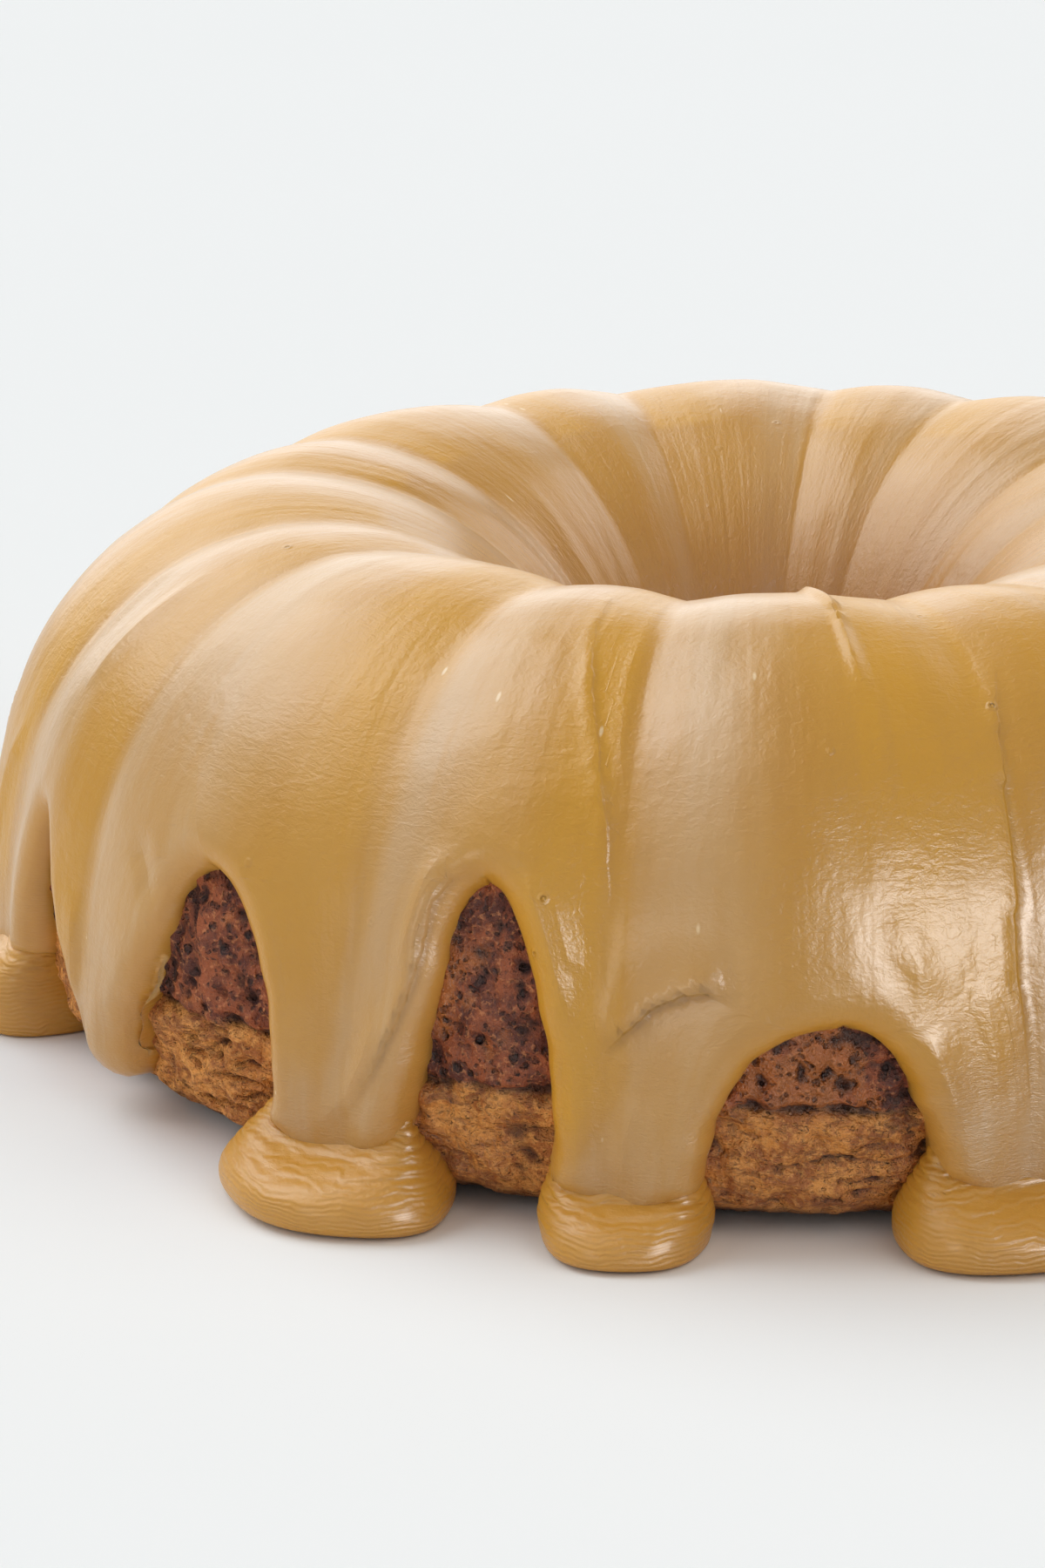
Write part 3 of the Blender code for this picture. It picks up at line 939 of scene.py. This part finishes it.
def caramel_material(icing):
    """Satin, faintly translucent icing with fine flow lines and pinholes."""
    if "caramel" in bpy.data.materials:
        return bpy.data.materials["caramel"]
    shader = Shader("caramel")
    place = shader.coordinates()
    flow = shader.attribute("flow", "Vector")
    # spread carries the painted sheen, and the painted gold where it is under 0
    puddle, gap, hollow, spread, edge, crease, ridge = (
        shader.attribute(name) for name in ("puddle", "fold_gap", "hollow", "bloom",
                                            "edge_distance", "fold_crease", "fold_ridge"))
    clouds = shader.noise(place, 0.026, 2.0)
    streaks = shader.noise(shader.scaled(flow, (1, 1, 0.22)), 0.0085, 3.0, 0.55, 0.4)
    bare = streaks.step(0.35, 0.65)
    # Share of the painted gold, where no sheen from the window light falls
    window_shade_gold = (spread * -1).clamp() * (1 - 0.4 * bare)
    # Painted shade in a narrow strip just left of a crease, under the overhanging fold
    crease_shade = (gap * -1).step(0.0, 0.0004) * (1 - (gap * -1).step(0.0004, 0.0013))
    speck_place = shader.scaled(flow, (1, 1, 0.45))
    specks = 1 - shader.cells(speck_place, 0.0060).step(0.03, 0.075)
    picked = shader.part("Color", shader.cells(speck_place, 0.0060, "Color"), 0).step(0.64, 0.68)
    base = shader.mix(
        icing.tint,
        ((clouds * 0.9 + streaks * 0.8 - 0.35).clamp(), icing.pale),
        # Painted gold where no sheen falls, then painted sheen where a flute side faces the window
        # light
        (window_shade_gold * 0.75, icing.gold),
        (spread.clamp() * (0.55 + 0.45 * bare) * 0.50, icing.bloom),
        # Painted shade down in the hole
        (hollow * 0.85, (0.370, 0.140, 0.013)),
        # Brighter gold on the rounded edges, painted glow and lifted shade; on the feet, their more
        # golden colour
        ((0.7 * (1 - edge.step(0.0, 0.0055)) + puddle * 0.5).clamp(), icing.rim),
        # Painted shade beside the creases
        ((crease_shade * crease).clamp() * 0.20, (0.20, 0.075, 0.014)),
        (specks * picked * 0.7, (0.82, 0.62, 0.36)))

    lines = shader.scaled(flow, (1, 1, 0.12))
    broad_lines = shader.noise(lines, 0.0060, 2.0, 0.5, 0.3)
    flow_lines = shader.noise(lines, 0.0022, 3.0, 0.6, 0.3)
    cross_lines = shader.noise(shader.scaled(flow, (0.45, 0.45, 1.7)), 0.0017, 3.0, 0.6, 0.9)
    leather = shader.noise(flow, 0.0016, 3.0, 0.55, 0.5)
    skin = shader.noise(shader.scaled(flow, (0.8, 0.8, 1.3)), 0.0009, 2.0, 0.55, 0.8)
    lumps = shader.noise(place, 0.0038, 2.0, 0.5, 0.3)
    patchy = shader.noise(place, 0.017, 1.0)
    past = (gap * (-1 / 0.0014)).math("MINIMUM", 0.0).math("EXPONENT")
    crest = (gap.math("ABSOLUTE") * (-1 / 0.0007)).math("EXPONENT")
    wavy = shader.noise(place, 0.0060, 2.0) * 22
    layers = shader.part("XYZ", place, 2) * (6.283 / 0.00075) + wavy
    pore_place = shader.scaled(place, (1.13, 1.07, 1.11))
    pores = shader.cells(pore_place, 0.0115)
    pierced = shader.part("Color", shader.cells(pore_place, 0.0115, "Color"), 1).step(0.7, 0.74)
    raised = pores.step(0.035, 0.055) * (1 - pores.step(0.055, 0.10))
    normal = shader.bump(
        (broad_lines * (1 - puddle) * (1 - 0.7 * hollow), 0.00050, 0.8),
        (lumps * patchy.step(0.45, 0.62), 0.00032, 0.7),
        (flow_lines * (1 - puddle), 0.00007, 0.8),
        (leather, 0.00013, 0.8),
        (cross_lines * (1 - patchy.step(0.42, 0.6) * 0.7), 0.00017, 0.8),
        (skin, 0.00009, 0.9),
        (gap.step(-0.0003, 0.0002) * past * crease, 0.00030, 0.9),
        (crest * ridge, 0.00022, 0.8),
        (layers.math("SINE") * puddle, 0.00006, 0.9),
        ((raised * 0.35 + pores.step(0.018, 0.040) - 1) * pierced, 0.0004, 0.9))
    rough = 0.29 + 0.12 * clouds + 0.05 * streaks + 0.02 * hollow + 0.08 * puddle
    shader.finish(Base_Color=base, Roughness=rough, Normal=normal, IOR=1.52,
                  Coat_Weight=0.38 * (1 - hollow) * (1 - window_shade_gold * 0.8), Coat_Roughness=0.22,
                  Subsurface_Weight=0.10, Subsurface_Scale=0.003,
                  Subsurface_Radius=(1.0, 0.55, 0.22))
    return shader.material


def cake_material(cake):
    """Baked crust, dark and pitted above, lighter and crumbly in the lower band."""
    shader = Shader("baked_cake")
    place = shader.coordinates()
    crust = shader.attribute("crust")
    # How deep the crumb sinks, for the painted shade in pits and cracks
    sunk_shade = shader.attribute("relief") * -1.0
    mottle = shader.noise(place, 0.0040, 4.0, 0.62)
    fine = shader.noise(place, 0.0009, 4.0, 0.65)
    patches = shader.noise(place, 0.013, 3.0, 0.55)
    bend = shader.noise(place, 1 / 420.0, 2.0, output="Color")
    bend = shader.node("ShaderNodeVectorMath", {"operation": "SCALE"}, {0: bend, "Scale": 0.0013})
    bent = shader.node("ShaderNodeVectorMath", {"operation": "ADD"}, (place, bend))
    wide_pores = 1 - (shader.cells(bent, 0.0027) + mottle * 0.5).step(0.30, 0.62)
    small_pores = 1 - (shader.cells(bent, 0.00115) + mottle * 0.4).step(0.28, 0.60)
    flakes = shader.noise(shader.scaled(bent, (1, 1, 3.2)), 0.0052, 3.0, 0.6, 0.4)
    height = shader.part("XYZ", place, 2)
    # Darker in the lowest few millimetres of the band, towards the floor
    low_dark = 1 - (height + (mottle - 0.5) * 0.005).step(0.0010, 0.0050)
    dark = shader.mix(
        cake.crust,
        (mottle.step(0.38, 0.62), (0.37, 0.088, 0.024)),
        (patches.step(0.52, 0.62) * 0.6, (0.56, 0.18, 0.036)),
        # Lighter orange on the tops of the fine bumps: partly the crust's own lighter crumbs, partly a
        # painted highlight
        (fine.step(0.52, 0.68) * 0.6, (0.74, 0.28, 0.10)),
        # Painted shade: near black in the pores and where the crust sinks
        ((wide_pores * 0.9 + small_pores * 0.6).clamp(), (0.040, 0.009, 0.005)),
        (sunk_shade.step(0.3, 1.1) * 0.85, (0.030, 0.007, 0.005)))
    light = shader.mix(
        cake.band,
        (mottle.step(0.38, 0.62), (0.44, 0.132, 0.022)),
        # Lighter orange on the tops of the fine bumps: partly lighter crumbs, partly a painted
        # highlight
        (fine.step(0.44, 0.66) * 0.55, (1.0, 0.47, 0.120)),
        (patches.step(0.52, 0.68) * 0.55, (0.50, 0.145, 0.018)),
        # Painted shade in the pores, the flaky cracks and where the band sinks
        ((wide_pores * 0.12 + small_pores * 0.15).clamp(), (0.15, 0.045, 0.014)),
        ((1 - flakes.step(0.36, 0.48)) * 0.6, (0.28, 0.085, 0.016)),
        (sunk_shade.step(0.8, 1.9) * 0.85, (0.090, 0.026, 0.009)),
        (low_dark * 0.8, (0.070, 0.022, 0.010)))
    normal = shader.bump(
        (mottle, 0.0022, 0.9),
        (wide_pores * (-0.25 - 0.75 * crust), 0.0011, 0.9),
        (small_pores * (-0.4 - 0.6 * crust), 0.0005, 0.9),
        (flakes * (1 - crust), 0.0016, 0.9),
        (fine, 0.0009, 0.9))
    rough = 0.62 - 0.34 * patches.step(0.50, 0.62) * (0.3 + 0.7 * crust)
    return shader.finish(Base_Color=shader.mix(light, (crust, dark)), Roughness=rough,
                         Normal=normal, IOR=1.43)


def floor_material():
    """Plain pale floor."""
    shader = Shader("pale_floor")
    place = shader.coordinates()
    cloud = shader.noise(place, 0.6, 2.0)
    base = shader.mix((0.855, 0.855, 0.855), (cloud, (0.868, 0.868, 0.868)))
    return shader.finish(Base_Color=base, Roughness=0.8, Specular_IOR_Level=0.0)


# ---- Stage

# Wide far lights: name, azimuth, elevation and spread in degrees, strength, tint, and whether
# they light a surface's body and its sheen
LIGHTS = (
    ("window", 150, 51, 52, 1.85, (0.88, 0.95, 1.0), True, True),
    ("skylight", 196, 62, 46, 0.75, (0.84, 0.93, 1.0), False, True),
    ("room", 345, 48, 60, 1.0, (1.0, 0.94, 0.84), True, False),
    ("wall", 200, 16, 60, 0.85, (0.97, 0.99, 1.0), True, False),
    ("reflector", 306, 18, 27, 3.3, (1.0, 0.98, 0.95), False, True),
    ("lamp", 242, 12, 20, 0.4, (1.0, 0.94, 0.84), False, True),
    ("backdrop", 105, 18, 54, 1.1, (1.0, 0.98, 0.94), False, True),
    ("side_window", 46, 31, 36, 0.7, (1.0, 0.98, 0.94), False, True),
)


def soft_light(name, azimuth, elevation, spread, strength, tint, body, sheen):
    around, up = math.radians(azimuth), math.radians(elevation)
    level = math.cos(up)
    toward = Vector((math.cos(around) * level, math.sin(around) * level, math.sin(up)))
    bpy.ops.object.light_add(type="SUN", location=toward * 2)
    lamp = bpy.context.object
    lamp.name = name
    lamp.data.angle = math.radians(spread)
    lamp.data.energy = strength
    lamp.data.color = tint
    lamp.visible_diffuse = body
    lamp.visible_glossy = sheen
    lamp.rotation_euler = toward.to_track_quat("Z", "Y").to_euler()


class CAKE_OT_stage(bpy.types.Operator):
    """Set the floor, the soft light and the camera"""
    bl_idname = "bundt.stage"
    bl_label = "Stage"

    def execute(self, context):
        studio = context.scene.bundt_studio
        select([])
        bpy.ops.mesh.primitive_plane_add(size=12.0, location=(0, 0, -0.0003))
        floor = context.object
        floor.name = "floor"
        floor.data.materials.append(floor_material())

        world = bpy.data.worlds.new("studio")
        world.use_nodes = True
        background = world.node_tree.nodes["Background"].inputs
        background["Color"].default_value = (0.98, 0.99, 1.0, 1)
        background["Strength"].default_value = 0.30
        context.scene.world = world
        for light in LIGHTS:
            soft_light(*light)

        angles = (studio.elevation, studio.pitch, studio.pan, studio.roll)
        rise, pitch, pan, roll = map(math.radians, angles)
        location = (0, -studio.distance * math.cos(rise),
                    studio.aim_height + studio.distance * math.sin(rise))
        turn = (Matrix.Rotation(pan, 3, "Z") @ Matrix.Rotation(math.pi / 2 - pitch, 3, "X")
                @ Matrix.Rotation(roll, 3, "Z"))
        bpy.ops.object.camera_add(location=location)
        camera = context.object
        camera.name = "camera"
        camera.rotation_euler = turn.to_euler()
        camera.data.lens = studio.lens
        camera.data.sensor_width = 36.0
        camera.data.clip_end = 50.0
        context.scene.camera = camera
        context.scene.view_settings.view_transform = "Standard"
        return {"FINISHED"}


class CAKE_PT_panel(bpy.types.Panel):
    """Bundt cake's pieces"""
    bl_idname = "CAKE_PT_panel"
    bl_label = "Bundt Cake"
    bl_space_type = "VIEW_3D"
    bl_region_type = "UI"
    bl_category = "Bundt Cake"

    def draw(self, context):
        for group in ("bundt_ring", "bundt_icing", "bundt_cake", "bundt_studio"):
            settings = getattr(context.scene, group)
            for name in settings.__annotations__:
                self.layout.prop(settings, name)
        for operator in OPERATORS:
            self.layout.operator(operator.bl_idname)


GROUPS = {"bundt_ring": RingSettings, "bundt_icing": IcingSettings,
          "bundt_cake": CakeSettings, "bundt_studio": StudioSettings}
OPERATORS = (CAKE_OT_cake, CAKE_OT_icing, CAKE_OT_feet, CAKE_OT_stage)


def register():
    for group in GROUPS.values():
        bpy.utils.register_class(group)
    for item in OPERATORS + (CAKE_PT_panel,):
        bpy.utils.register_class(item)
    for name, group in GROUPS.items():
        setattr(bpy.types.Scene, name, bpy.props.PointerProperty(type=group))


def unregister():
    for name in GROUPS:
        delattr(bpy.types.Scene, name)
    for item in reversed(OPERATORS + (CAKE_PT_panel,)):
        bpy.utils.unregister_class(item)
    for group in GROUPS.values():
        bpy.utils.unregister_class(group)


def main():
    register()
    bpy.ops.bundt.cake()
    bpy.ops.bundt.icing()
    bpy.ops.bundt.feet()
    bpy.ops.bundt.stage()


if __name__ == "__main__":
    main()
